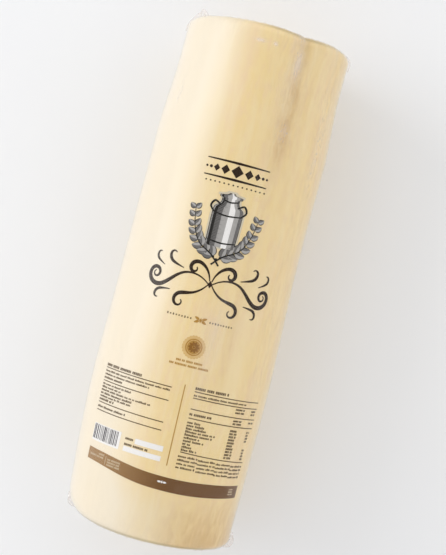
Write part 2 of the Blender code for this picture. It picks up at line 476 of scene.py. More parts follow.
def film_rise(angle, y):
    """How far a crease of the film stands up over the tight skin."""
    around = Vector((math.sin(angle), math.cos(angle), 0.0))
    drawn = noise.noise(around * 11.0 + Vector((0.0, 0.0, y * 9.0)))
    ridge = max(0.0, 1.0 - abs(drawn) * 5.0) ** 2
    small = noise.noise(around * 26.0 + Vector((3.1, 0.0, y * 16.0)))
    little_ridge = max(0.0, 1.0 - abs(small) * 4.0) ** 2
    creased = crease_places(turn_between(angle, 0.0) * RADIUS, y)
    return 0.00030 * ridge * (0.12 + creased) + 0.00024 * little_ridge * (0.10 + creased)


def film_pleats(angle, radius, y):
    """Gathers that run over each shoulder towards the seal."""
    over = ease(abs(y), HALF_LENGTH - 0.012, HALF_LENGTH - 0.004)
    inwards = ease(radius, RADIUS * 0.25, RADIUS * 0.85)
    wander = noise.noise(Vector((math.sin(angle) * 3, math.cos(angle) * 3, 5.0 if y > 0 else -5.0)))
    pleat = (0.5 + 0.5 * math.cos(44 * angle + 9.0 * wander)) ** 2
    towards_seal = 0.35 + 0.65 * abs(math.cos(angle))
    return PLEAT_HEIGHT * over * inwards * pleat * towards_seal


def on_side(radius):
    """1 on the log's side, easing to 0 on its end faces."""
    return ease(radius, RADIUS * 0.80, RADIUS * 0.93)


def painted_shade_places(u, y, radius):
    """Painted shade: where the cheese is darker and warmer along the pinch, in its furrow and beside it, down
    the right side and over the foot; a little on the end faces too.
    """
    pinch = 0.24 * bell(u - 26.5 * MM, 4.0 * MM) * ease(y, -95 * MM, -50 * MM)
    line = 0.24 * bell(u - 30.0 * MM, 1.7 * MM) * ease(y, 92 * MM, 128 * MM)
    furrow = 0.54 * bell(u - 26.5 * MM, 8.5 * MM) * ease(y, 66 * MM, 112 * MM)
    furrow *= 1.0 - 0.40 * ease(y, 132 * MM, 155 * MM)
    beside = 0.13 * bell(u - 40 * MM, 6 * MM) * ease(y, -20 * MM, 60 * MM)
    top_side = 1 - ease(abs(u), 110 * MM, 165 * MM)
    right = 0.18 * ease(u, 36 * MM, 62 * MM) * top_side
    foot = 0.60 * ease(-y, 132 * MM, 160 * MM) * ease(u, -12 * MM, 30 * MM) * top_side
    foot_rim = 0.55 * ease(-y, 160 * MM, 176 * MM) * ease(u, 2 * MM, 50 * MM) * top_side
    face = 0.22 * (1 - on_side(radius))
    return min(1.0, (pinch + line + furrow + beside + right + foot + foot_rim) * on_side(radius)
               + face)


def painted_light_places(u, y, radius):
    """Painted light: the cheese is palest on its left side, towards the light, and a little more at the foot;
    also somewhat paler underneath and on the end faces.
    """
    top_side = 1 - ease(abs(u), 115 * MM, 175 * MM)
    left = ease(-u, 1 * MM, 44 * MM) * (0.35 + 0.65 * top_side)
    foot = 0.50 * ease(-y, 128 * MM, 158 * MM) * ease(-u, -30 * MM, 8 * MM)
    under = 0.35 * ease(u, 130 * MM, 180 * MM)
    return min(1.0, (left + foot * top_side + under) * on_side(radius)
               + 0.30 * (1 - on_side(radius)))


def shoulder_shade_places(radius, y, u):
    """Painted shade in a ring round each shoulder, where it turns away from the light; strongest along the top
    and the right.
    """
    ring = ease(abs(y), HALF_LENGTH - 0.0052, HALF_LENGTH - 0.0030)
    ring *= ease(radius, RADIUS * 0.74, RADIUS * 0.93)
    ring *= 0.45 + 0.55 * ease(math.cos(u / RADIUS), -0.2, 0.3)
    if y > 0:
        ring *= 0.25 + 0.75 * ease(u, -18 * MM, 8 * MM) - 0.35 * ease(u, 34 * MM, 56 * MM)
    return ring


class ProvoloneLogSettings(bpy.types.PropertyGroup):
    """The cheese itself."""
    turn_steps: IntProperty(name="Steps round", description="Faces once round the log",
                            default=200, min=48, max=256)
    side_stations: IntProperty(name="Rows along", description="Rows of faces along the log's side",
                               default=170, min=26, max=240)
    colour: FloatVectorProperty(name="Colour", description="Main colour of the cheese",
                                default=(0.885, 0.692, 0.366), subtype="COLOR", size=3, min=0,
                                max=1)
    blotch_colour: FloatVectorProperty(name="Blotches", description="Colour of the soft blotches",
                                       default=(0.865, 0.668, 0.325), subtype="COLOR", size=3,
                                       min=0, max=1)
    rosy_colour: FloatVectorProperty(name="Rosy patches", description="Colour of the warmer patches",
                                     default=(0.855, 0.640, 0.385), subtype="COLOR", size=3,
                                     min=0, max=1)
    pale_colour: FloatVectorProperty(name="Pressing marks",
                                     description="Colour of the pale lengthwise marks",
                                     default=(0.90, 0.740, 0.45), subtype="COLOR", size=3,
                                     min=0, max=1)
    # Colour of the painted light down the left side.
    painted_light_colour: FloatVectorProperty(name="Pale side",
                                          description="Colour of the paler left side",
                                          default=(0.872, 0.777, 0.612), subtype="COLOR", size=3,
                                          min=0, max=1)
    # Colour of the painted shade along the pinch, in the furrow, down the right side and at the foot.
    painted_shade_colour: FloatVectorProperty(name="Warm places",
                                    description="Colour along the pinch and in the furrow",
                                    default=(0.690, 0.478, 0.225), subtype="COLOR", size=3,
                                    min=0, max=1)
    # Painted shade round the shoulders: its colour and how strongly it is laid on.
    shoulder_shade_colour: FloatVectorProperty(name="Ends", description="Colour of the drier ends",
                                    default=(0.36, 0.27, 0.10), subtype="COLOR", size=3,
                                    min=0, max=1)
    shoulder_shade_strength: FloatProperty(name="End darkening", description="How far the ends take theirs",
                                 default=0.62, min=0, max=1, subtype="FACTOR")


class ProvoloneFilmSettings(bpy.types.PropertyGroup):
    """The clear shrink bag."""
    gap: FloatProperty(name="Gap", description="How far the film lies over the cheese",
                       default=0.00030, min=0.0002, max=0.001, unit="LENGTH", precision=5)
    turn_steps: IntProperty(name="Steps round", description="Faces once round the film",
                            default=300, min=96, max=320)
    side_stations: IntProperty(name="Rows along", description="Rows of faces along the film",
                               default=270, min=60, max=300)
    crease_depth: FloatProperty(name="Crease depth", description="Depth of the fine creases",
                                default=0.00018, min=0, max=0.002, unit="LENGTH", precision=5)
    gloss: FloatProperty(name="Gloss", description="Share of light the film mirrors face on",
                         default=0.020, min=0, max=1, subtype="FACTOR")
    gloss_roughness: FloatProperty(name="Gloss roughness", description="Blur of the mirrored light",
                                   default=0.20, min=0, max=1, subtype="FACTOR")
    bloom_colour: FloatVectorProperty(name="Bloom", description="Colour of the milky places",
                                      default=(0.93, 0.885, 0.868), subtype="COLOR", size=3,
                                      min=0, max=1)
    seal_wall: FloatProperty(name="Seal wall", description="Thickness of the sealed film",
                             default=0.00035, min=0.0001, max=0.001, unit="LENGTH", precision=5)


class ProvolonePrintSettings(bpy.types.PropertyGroup):
    """The print on the bag."""
    thickness: FloatProperty(name="Ink thickness", description="Thickness of a layer of ink",
                             default=0.000035, min=0.00001, max=0.0001, unit="LENGTH", precision=6)
    layer: FloatProperty(name="Layer step", description="Height from one layer of ink to the next",
                         default=0.00004, min=0.00001, max=0.0001, unit="LENGTH", precision=6)
    seed: IntProperty(name="Seed", description="Which run of stand-in words is set", default=7)
    brown: FloatVectorProperty(name="Dark brown", description="Ink of the head ornament and scroll",
                               default=(0.024, 0.011, 0.003), subtype="COLOR", size=3, min=0, max=1)
    fine_brown: FloatVectorProperty(name="Fine brown", description="Ink of the fine print",
                                    default=(0.120, 0.075, 0.030), subtype="COLOR", size=3, min=0,
                                    max=1)
    cream: FloatVectorProperty(name="Cream", description="Ink of the marks on the band",
                               default=(0.56, 0.44, 0.29), subtype="COLOR", size=3, min=0, max=1)
    bar_grey: FloatVectorProperty(name="Bar grey", description="Ink of the upright bars",
                                  default=(0.050, 0.044, 0.055), subtype="COLOR", size=3, min=0,
                                  max=1)
    black: FloatVectorProperty(name="Black", description="Darkest ink of the picture",
                               default=(0.016, 0.014, 0.012), subtype="COLOR", size=3, min=0, max=1)
    grey: FloatVectorProperty(name="Grey", description="Middle ink of the picture",
                              default=(0.15, 0.143, 0.138), subtype="COLOR", size=3, min=0, max=1)
    pale_grey: FloatVectorProperty(name="Pale grey", description="Light ink of the picture",
                                   default=(0.40, 0.385, 0.37), subtype="COLOR", size=3,
                                   min=0, max=1)
    halo: FloatVectorProperty(name="Halo", description="Pale ink that shows round the churn",
                              default=(0.66, 0.585, 0.44), subtype="COLOR", size=3, min=0, max=1)
    white: FloatVectorProperty(name="White", description="White ink",
                               default=(0.88, 0.86, 0.84), subtype="COLOR", size=3, min=0, max=1)
    gold: FloatVectorProperty(name="Gold", description="Gold ink of the seal",
                              default=(0.46, 0.245, 0.050), subtype="COLOR", size=3, min=0, max=1)
    dark_gold: FloatVectorProperty(name="Dark gold", description="Gold in shade",
                                   default=(0.27, 0.120, 0.018), subtype="COLOR", size=3,
                                   min=0, max=1)
    pale_gold: FloatVectorProperty(name="Pale gold", description="Light gold ink",
                                   default=(0.70, 0.47, 0.19), subtype="COLOR", size=3,
                                   min=0, max=1)
    band: FloatVectorProperty(name="Band brown", description="Brown of the band at the foot",
                              default=(0.155, 0.070, 0.020), subtype="COLOR", size=3, min=0, max=1)
    # Painted highlight on the band's left end.
    band_highlight: FloatVectorProperty(name="Band at the left", description="Its paler left end",
                                   default=(0.36, 0.205, 0.078), subtype="COLOR", size=3, min=0,
                                   max=1)


class ProvoloneStageSettings(bpy.types.PropertyGroup):
    """Floor, light and camera."""
    floor_colour: FloatVectorProperty(name="Floor", description="Colour of the pale floor",
                                      default=(0.926, 0.935, 0.955), subtype="COLOR", size=3,
                                      min=0, max=1)
    sky_strength: FloatProperty(name="Room light", description="Even light from all round",
                                default=1.02, min=0, max=10)
    window_power: FloatProperty(name="Window", description="Power of the soft window on the left",
                                default=16.0, min=0, max=1000, unit="POWER")
    camera_place: FloatVectorProperty(name="Camera", description="Where the camera stands",
                                      default=(0.0093, 0.0166, 0.9379), subtype="TRANSLATION",
                                      unit="LENGTH", size=3)
    camera_target: FloatVectorProperty(name="Aim", description="The point it looks at",
                                       default=(0.0093, 0.0043, 0.0584), subtype="TRANSLATION",
                                       unit="LENGTH", size=3)
    camera_roll: FloatProperty(name="Roll", description="How far the log leans in the view",
                               default=math.radians(14.334), subtype="ANGLE", unit="ROTATION")
    focal_length: FloatProperty(name="Focal length", description="Lens in millimetres",
                                default=81.08, min=20, max=300)


# ---------------------------------------------------------------- flat shapes of ink

class Inks:
    """The flat shapes of one part of the print, one sheet for each ink and layer."""

    def __init__(self, settings):
        self.settings, self.sheets = settings, {}

    def sheet(self, ink, layer=0):
        return self.sheets.setdefault((ink, layer), bmesh.new())

    def wrap(self, name):
        """Give every sheet its thickness and lay it on the log as a piece."""
        made = []
        for (ink, layer), bm in self.sheets.items():
            follow_the_round(bm)
            sheet_thickness(bm, self.settings.thickness)
            lift = 0.00006 + layer * self.settings.layer
            for vertex in bm.verts:
                u, y, height = vertex.co
                vertex.co = on_log(u, y, lift + height)
            bmesh.ops.recalc_face_normals(bm, faces=bm.faces)
            tint = tuple(getattr(self.settings, ink))
            # Only the band takes the painted highlight towards its left.
            painted_highlight_tint = tuple(self.settings.band_highlight) if ink == "band" else None
            material = (bpy.data.materials.get("ink_" + ink)
                        or ink_finish("ink_" + ink, tint, painted_highlight_tint))
            piece_name = name + "_" + ink + (f"_{layer}" if layer else "")
            made.append(add_piece(piece_name, bm, material, sharp=math.radians(35)))
        return made


def follow_the_round(bm, round_step=2.2 * MM, along_step=9 * MM):
    """Cut flat shapes across often enough to bend with the log."""
    for axis, step in ((0, round_step), (1, along_step)):
        low = min(vertex.co[axis] for vertex in bm.verts)
        high = max(vertex.co[axis] for vertex in bm.verts)
        normal = Vector((1, 0, 0)) if axis == 0 else Vector((0, 1, 0))
        for cut in range(math.ceil(low / step), math.floor(high / step) + 1):
            geometry = bm.verts[:] + bm.edges[:] + bm.faces[:]
            bmesh.ops.bisect_plane(bm, geom=geometry, dist=1e-7, plane_co=normal * cut * step,
                                   plane_no=normal)


def sheet_thickness(bm, thickness):
    """Draw a flat sheet up into a thin closed plate."""
    bmesh.ops.recalc_face_normals(bm, faces=bm.faces)
    drawn = bmesh.ops.extrude_face_region(bm, geom=bm.faces[:], use_keep_orig=True)["geom"]
    lifted = [part for part in drawn if isinstance(part, bmesh.types.BMVert)]
    bmesh.ops.translate(bm, verts=lifted, vec=(0, 0, thickness))


def block(bm, u, y, width, height, turn=0.0):
    """A rectangle of ink about a centre, in metres."""
    place = (Matrix.Translation((u, y, 0)) @ Matrix.Rotation(turn, 4, "Z")
             @ Matrix.Diagonal((width, height, 1, 1)))
    bmesh.ops.create_grid(bm, x_segments=1, y_segments=1, size=0.5, matrix=place)


def rule(bm, start, end, thickness):
    """A straight line of ink between two places."""
    start, end = Vector(start), Vector(end)
    run = end - start
    middle = (start + end) / 2
    block(bm, middle.x, middle.y, run.length, thickness, math.atan2(run.y, run.x))


def disc(bm, u, y, radius, sides=32):
    """A round dot; four sides make a lozenge."""
    bmesh.ops.create_circle(bm, cap_ends=True, cap_tris=False, segments=sides, radius=radius,
                            matrix=Matrix.Translation((u, y, 0)))


def lozenge(bm, u, y, width, height):
    """A diamond of ink."""
    place = Matrix.Translation((u, y, 0)) @ Matrix.Diagonal((width / 2, height / 2, 1, 1))
    bmesh.ops.create_circle(bm, cap_ends=True, cap_tris=False, segments=4, radius=1.0,
                            matrix=place)


def ring(bm, u, y, radius, thickness, sides=48, scallop=0.0, scallops=0):
    """A ring of ink, its outer edge scalloped if asked."""
    made = bmesh.ops.create_circle(bm, cap_ends=False, segments=sides, radius=radius,
                                   matrix=Matrix.Translation((u, y, 0)))["verts"]
    edges = list({edge for vertex in made for edge in vertex.link_edges})
    drawn = bmesh.ops.extrude_edge_only(bm, edges=edges)["geom"]
    for vertex in drawn:
        if isinstance(vertex, bmesh.types.BMVert):
            out = Vector((vertex.co.x - u, vertex.co.y - y, 0))
            wave = scallop * abs(math.cos(math.atan2(out.y, out.x) * scallops / 2))
            vertex.co += out.normalized() * (thickness + wave)


def smooth_path(points, share):
    """A point on the smooth curve through the given points."""
    run = share * (len(points) - 1)
    span = min(int(run), len(points) - 2)
    t = run - span
    a, b, c, d = (Vector(points[min(max(span + step, 0), len(points) - 1)])
                  for step in (-1, 0, 1, 2))
    return 0.5 * (2 * b + (c - a) * t + (2 * a - 5 * b + 4 * c - d) * t * t
                  + (3 * b - a - 3 * c + d) * t ** 3)


def stroke(bm, points, width, steps=36, across=1, side=(-0.5, 0.5)):
    """A ribbon of ink along a smooth curve; width is a function of the share of its length.

    side takes part of the ribbon's width only, from -0.5 on its right to 0.5 on its left.
    """
    made = bmesh.ops.create_grid(bm, x_segments=steps, y_segments=across, size=0.5)["verts"]
    for vertex in made:
        share = vertex.co.x + 0.5
        over = side[0] + (side[1] - side[0]) * (vertex.co.y + 0.5)
        here = smooth_path(points, share)
        ahead = smooth_path(points, min(1.0, share + 0.01)) - smooth_path(points, max(0.0, share - 0.01))
        normal = Vector((-ahead.y, ahead.x)).normalized()
        vertex.co = (*(here + normal * over * width(share)), 0.0)


def pen_path(start, heading, bends, stations=14):
    """Points along a pen's sweep; each bend is its length and its curvature at start and end."""
    points, place = [start], Vector(start)
    for length, curl_in, curl_out in bends:
        step = length / stations
        for station in range(stations):
            heading += step * (curl_in + (curl_out - curl_in) * (station + 0.5) / stations)
            place = place + step * Vector((math.cos(heading), math.sin(heading)))
            points.append(tuple(place))
    return points


def pen(thin, thick, swell=1.0):
    """The width of a pen stroke that swells in its middle."""
    return lambda share: thin + (thick - thin) * math.sin(math.pi * min(share, 1.0)) ** swell


def leaf_width(width):
    """The width of a pointed leaf, fullest a little before its middle."""
    return lambda share: max(width * 1.3 * math.sin(math.pi * share ** 0.8) ** 0.9, 0.02 * MM)


def words(bm, start, end, y, height, chance, close=False):
    """A line of stand-in words: short runs of small blocks."""
    u = start
    while u < end - 0.8 * MM:
        for _ in range(chance.randint(2, 9)):
            width = height * chance.uniform(0.42, 0.72)
            if u + width > end:
                break
            tall = height * (1.0 if close else chance.choice((0.72, 0.72, 0.80, 1.0)))
            block(bm, u + width / 2, y + tall / 2 - height / 2, width, tall)
            u += width + height * 0.17
        u += height * 0.55


# ---------------------------------------------------------------- operators

class PROVOLONE_OT_log(bpy.types.Operator):
    """Build the cheese log"""
    bl_idname = "provolone.log"
    bl_label = "Cheese log"

    def execute(self, context):
        settings = context.scene.provolone_log
        bm = turned(log_profile(0.0, settings.side_stations, 14, 12), settings.turn_steps)
        # Each point keeps how much painted shade (in the furrow, down the right, at the foot and round the
        # shoulders) and painted light (down the left side) its colour takes.
        for name in ("tan", "pale", "rim"):
            bm.verts.layers.float.new(name)
        tan, pale, rim = (bm.verts.layers.float[name] for name in ("tan", "pale", "rim"))
        for vertex in bm.verts:
            x, y, z = vertex.co
            u, radius = math.atan2(x, z) * RADIUS, math.hypot(x, z)
            vertex[tan], vertex[pale] = painted_shade_places(u, y, radius), painted_light_places(u, y, radius)
            vertex[rim] = shoulder_shade_places(radius, y, u)
        lay_down(bm)
        for vertex in bm.verts:
            vertex.co.z = max(vertex.co.z, UNDER_GAP)
        add_piece("cheese_body", bm, cheese_finish(settings), LOG_NODE)
        return {"FINISHED"}


class PROVOLONE_OT_film(bpy.types.Operator):
    """Draw the clear shrink film over the log"""
    bl_idname = "provolone.film"
    bl_label = "Shrink film"

    def execute(self, context):
        settings = context.scene.provolone_film
        profile = log_profile(settings.gap, settings.side_stations, 18, 14)
        bm = turned(profile, settings.turn_steps)
        creased = bm.verts.layers.float.new("crease")
        milky = bm.verts.layers.float.new("bloom")

        def extra(angle, radius, y):
            rise = film_rise(angle, y) * on_side(radius)
            pleat = film_pleats(angle, radius, y)
            end = math.copysign(ease(abs(y), HALF_LENGTH - 0.009, HALF_LENGTH - 0.002), y)
            return radius + rise + pleat * (1 - abs(end)), y + pleat * end

        for vertex in bm.verts:
            x, y, z = vertex.co
            u = math.atan2(x, z) * RADIUS
            radius = math.hypot(x, z)
            pleated = film_pleats(math.atan2(x, z), radius, y) / PLEAT_HEIGHT
            side = on_side(radius)
            vertex[creased] = min(1.0, crease_places(u, y) * side + 0.14 * (1 - side)
                                  + (0.12 + 0.30 * (1 - side)) * pleated)
            vertex[milky] = bloom_places(u, y) * side + 0.05 * (1 - side)
        lay_down(bm, extra)
        material = film_finish("shrink_film", settings, 0.006, 0.42)
        add_piece("shrink_film", bm, material)
        return {"FINISHED"}


def seam_route(end, end_radius):
    """Points across an end at mid-height, from its left side to its right side."""
    rim = [(radius, HALF_LENGTH - drop) for radius, drop in end_profile(end_radius, 0.0, 12, 10)]
    past_corner = rim[-1][1] - SEAL_LENGTHWISE
    rim.append((side_radius(end * past_corner), past_corner))
    left = [settle(-math.pi / 2, radius, end * y) for radius, y in reversed(rim)]
    right = [settle(math.pi / 2, radius, end * y) for radius, y in rim[1:]]
    return [point + SHIFT for point in left + right]


def point_along(route, share):
    """The point and direction at a share of the route's length."""
    lengths = [(b - a).length for a, b in zip(route, route[1:])]
    wanted = share * sum(lengths)
    for a, b, length in zip(route, route[1:], lengths):
        if wanted <= length:
            break
        wanted -= length
    return a.lerp(b, min(1.0, wanted / length)), (b - a).normalized()


def band_share(share):
    """1 along the middle of a seal, easing to 0 at its two corners."""
    return ease(min(share, 1 - share), *BAND_SPAN)


def seal_depth(share, sizes):
    """How far the seal stands out: an ear near each corner and a band between them."""
    ears = [size * bell(share - place, EAR_HALF_WIDTH) for place, size in sizes["ears"]]
    return SEAL_LEAST + max(*ears, sizes["band"] * band_share(share))


class PROVOLONE_OT_seals(bpy.types.Operator):
    """Build the crimped seals that close the bag across both ends"""
    bl_idname = "provolone.seals"
    bl_label = "Film seals"

    def execute(self, context):
        settings = context.scene.provolone_film
        material = film_finish("sealed_film", settings, 0.08, 0.50)
        ends = (("seal_head", 1, RADIUS - HEAD_TAPER, HEAD_SEAL, HEAD_SEAL_NODE),
                ("seal_foot", -1, RADIUS - FOOT_TAPER, FOOT_SEAL, FOOT_SEAL_NODE))
        for name, end, end_radius, sizes, node in ends:
            self.seal(name, end, end_radius, sizes, node, settings, material)
        return {"FINISHED"}

    def seal(self, name, end, end_radius, sizes, node, settings, material):
        route = seam_route(end, end_radius)
        up = Vector((0.0, 0.0, 1.0))
        bm = bmesh.new()
        creased = bm.verts.layers.float.new("crease")
        milky = bm.verts.layers.float.new("bloom")
        bmesh.ops.create_grid(bm, x_segments=260, y_segments=10, size=0.5)
        for vertex in bm.verts:
            share, across = vertex.co.x + 0.5, vertex.co.y + 0.5
            point, along = point_along(route, share)
            out = Vector((-along.y, along.x, 0.0)).normalized() * end
            fold = sizes["fold"] * band_share(share)
            away = out * math.cos(fold) - up * math.sin(fold)
            swell = out * math.sin(fold) + up * math.cos(fold)
            wave = 0.0006 * math.sin(2 * math.pi * 7 * share + end) * across
            crimp = 0.00014 * math.sin(2 * math.pi * 46 * share) * ease(across, 0.1, 0.5)
            ruffle = 0.0005 * noise.noise(Vector((share * 22, across * 1.2, end))) * across
            jag = 1.0 + 0.14 * noise.noise(Vector((share * 60, 4.0, end)))
            depth = seal_depth(share, sizes) * across * jag
            vertex.co = point + out * 0.00075 + away * depth + swell * (wave + crimp + ruffle)
            ribbed = abs(math.sin(2 * math.pi * 23 * share))
            vertex[creased], vertex[milky] = 0.25 + 0.25 * ribbed, 0.16 + 0.14 * ribbed
        drawn = bmesh.ops.solidify(bm, geom=bm.faces[:], thickness=settings.seal_wall)
        bmesh.ops.recalc_face_normals(bm, faces=bm.faces)
        add_piece(name, bm, material, node)


class PROVOLONE_OT_title(bpy.types.Operator):
    """Print the bold ornament at the head and the dotted line under it"""
    bl_idname = "provolone.title"
    bl_label = "Head ornament"

    def execute(self, context):
        inks = Inks(context.scene.provolone_print)
        dark = inks.sheet("brown")
        middle = 2.8 * MM
        for y, thickness in ((79.9 * MM, 1.7 * MM), (68.7 * MM, 1.7 * MM)):
            for way in (-1, 1):
                stroke(dark, [(middle, y), (middle + way * 21.4 * MM, y)],
                       lambda share, t=thickness: t * (1.0 - 0.6 * share), steps=12)
        lozenge(dark, middle, 74.3 * MM, 8.2 * MM, 8.4 * MM)
        for way in (-1, 1):
            lozenge(dark, middle + way * 8.0 * MM, 74.3 * MM, 5.8 * MM, 6.4 * MM)
            lozenge(dark, middle + way * 13.9 * MM, 74.3 * MM, 4.2 * MM, 4.8 * MM)
            disc(dark, middle + way * 17.8 * MM, 74.3 * MM, 1.0 * MM, 16)
            disc(dark, middle + way * 20.6 * MM, 74.3 * MM, 0.75 * MM, 16)
        for step in range(14):
            disc(dark, -16.2 * MM + step * 3.08 * MM, 65.2 * MM, 0.55 * MM, 10)
        inks.wrap("title")
        return {"FINISHED"}


def churn_half_width(share):
    """Half the width of a milk churn, from its foot at 0 to its knob at 1."""
    stops = ((0.0, 8.2), (0.03, 9.4), (0.62, 9.8), (0.66, 9.5), (0.76, 5.9), (0.79, 5.4),
             (0.85, 5.4), (0.86, 7.2), (0.92, 7.2), (0.94, 2.6), (0.96, 1.9), (1.0, 1.2))
    for (a, wide), (b, next_wide) in zip(stops, stops[1:]):
        if share <= b:
            return (wide + (next_wide - wide) * ease(share, a, b)) * MM
    return stops[-1][1] * MM


class PROVOLONE_OT_picture(bpy.types.Operator):
    """Print the milk churn between two leafy sprigs"""
    bl_idname = "provolone.picture"
    bl_label = "Picture"

    def execute(self, context):
        inks = Inks(context.scene.provolone_print)
        self.churn(inks)
        self.sprigs(inks)
        inks.wrap("picture")
        return {"FINISHED"}

    def churn(self, inks):
        foot, top, middle = 23.5 * MM, 60.0 * MM, 3.4 * MM
        line = [(middle, foot), (middle, top)]

        def full(share):
            return 2 * churn_half_width(share)

        stroke(inks.sheet("halo"), [(middle, foot - 1.2 * MM), (middle, top + 1.2 * MM)],
               lambda share: full(share) + 3.4 * MM, 60, 8)
        stroke(inks.sheet("black", 1), line, lambda share: full(share) + 1.0 * MM, 60, 8)
        stroke(inks.sheet("pale_grey", 2), line, full, 60, 8)
        for ink, low, high in (("grey", 0.18, 0.46), ("white", -0.24, -0.04), ("grey", -0.49, -0.40)):
            stroke(inks.sheet(ink, 3), line, full, 60, 3, (low, high))
        black = inks.sheet("black", 4)
        stroke(black, line, full, 60, 1, (0.36, 0.46))
        for step in range(30):
            y = foot + 1.2 * MM + step * 1.0 * MM
            half = churn_half_width((y - foot) / (top - foot))
            reach = 0.28 + 0.16 * math.sin(step * 2.1)
            stroke(black, [(middle - 0.96 * half, y), (middle - 0.6 * half, y - 0.35 * MM),
                           (middle - reach * half, y - 0.4 * MM)],
                   lambda share: 0.42 * MM * (1.02 - share), 8)
        for share in (0.10, 0.60, 0.85):
            y = foot + share * (top - foot)
            half = churn_half_width(share)
            stroke(black, [(middle - half, y + 0.5 * MM), (middle, y - 0.7 * MM),
                           (middle + half, y + 0.5 * MM)], pen(0.7 * MM, 1.0 * MM), 16)
        for way in (-1, 1):
            stroke(black, [(middle + way * 5.6 * MM, 51.0 * MM), (middle + way * 9.8 * MM, 53.2 * MM),
                           (middle + way * 12.0 * MM, 49.4 * MM), (middle + way * 9.2 * MM, 46.0 * MM)],
                   pen(0.9 * MM, 1.3 * MM), 20)

    def sprigs(self, inks):
        middle = 3.4 * MM
        for way in (-1, 1):
            stem = [(middle - way * 2.5 * MM, 11.5 * MM), (middle + way * 4.0 * MM, 18.0 * MM),
                    (middle + way * 13.5 * MM, 24.0 * MM), (middle + way * 19.0 * MM, 34.0 * MM),
                    (middle + way * 21.5 * MM, 46.5 * MM)]
            stroke(inks.sheet("black", 4), stem, lambda share: (1.1 - 0.7 * share) * MM, 30)
            for step in range(8):
                share = 0.22 + step * 0.108
                root = smooth_path(stem, min(share, 1.0))
                ahead = smooth_path(stem, min(share + 0.03, 1.0)) - smooth_path(stem, share - 0.03)
                heading = math.atan2(ahead.y, ahead.x)
                for side in (-1, 1):
                    turn = heading + side * (0.62 + 0.04 * step)
                    reach = (7.6 - 0.42 * step) * MM
                    tip = root + reach * Vector((math.cos(turn), math.sin(turn)))
                    bend = root.lerp(tip, 0.5) + side * 0.5 * MM * Vector(
                        (-math.sin(turn), math.cos(turn)))
                    vein = [tuple(root), tuple(bend), tuple(tip)]
                    wide = (3.3 - 0.16 * step) * MM
                    stroke(inks.sheet("black", 1), vein, leaf_width(wide + 0.8 * MM), 12, 2)
                    stroke(inks.sheet("grey", 2), vein, leaf_width(wide), 12, 1, (0.0, 0.5))
                    stroke(inks.sheet("pale_grey", 2), vein, leaf_width(wide), 12, 1, (-0.5, 0.0))
        for way in (-1, 0, 1):
            disc(inks.sheet("black", 4), middle + way * 2.4 * MM, (15.4 + abs(way) * 1.4) * MM,
                 0.9 * MM, 12)


class PROVOLONE_OT_flourish(bpy.types.Operator):
    """Print the large pen-drawn scroll"""
    bl_idname = "provolone.flourish"
    bl_label = "Pen flourish"

    def execute(self, context):
        inks = Inks(context.scene.provolone_print)
        ink = inks.sheet("brown")
        middle, height = 3.8 * MM, -1.5 * MM
        # Each sweep: its start, its heading in degrees, its bends and its pen's least and most width
        sweeps = (
            ((0.6, -0.6), 46, ((23, -0.044, -0.076), (14, -0.056, 0.062), (15, 0.11, 0.17),
                               (13, 0.20, 0.34), (8, 0.38, 0.62)), 0.7, 2.9),
            ((0.6, 0.6), -60, ((15, 0.035, 0.070), (6, 0.045, -0.06), (9, -0.17, -0.26),
                               (8, -0.30, -0.55)), 0.7, 2.5),
            ((0.8, 2.0), 80, ((14, -0.045, -0.10), (10, -0.17, -0.30), (7, -0.38, -0.60)), 0.7, 2.6),
            ((19.5, 6.6), 14, ((8, 0.0, 0.03), (7, 0.13, 0.26), (5, 0.36, 0.60)), 0.6, 2.1),
            ((33.5, 5.6), 24, ((6, 0.01, 0.04), (5, 0.20, 0.34), (3, 0.45, 0.60)), 0.5, 1.7),
            ((25.5, -9.2), -4, ((7, -0.01, -0.03), (6, -0.16, -0.30), (4, -0.42, -0.60)), 0.6, 1.9),
        )
        for way in (-1, 1):
            for start, heading, bends, thin, thick in sweeps:
                swept = pen_path(start, math.radians(heading), bends)
                path = [(middle + way * u * MM, height + y * MM) for u, y in swept]
                stroke(ink, path, pen(thin * MM, thick * MM, 1.4), 90)
        lozenge(ink, middle, height, 3.2 * MM, 5.2 * MM)
        inks.wrap("flourish")
        return {"FINISHED"}


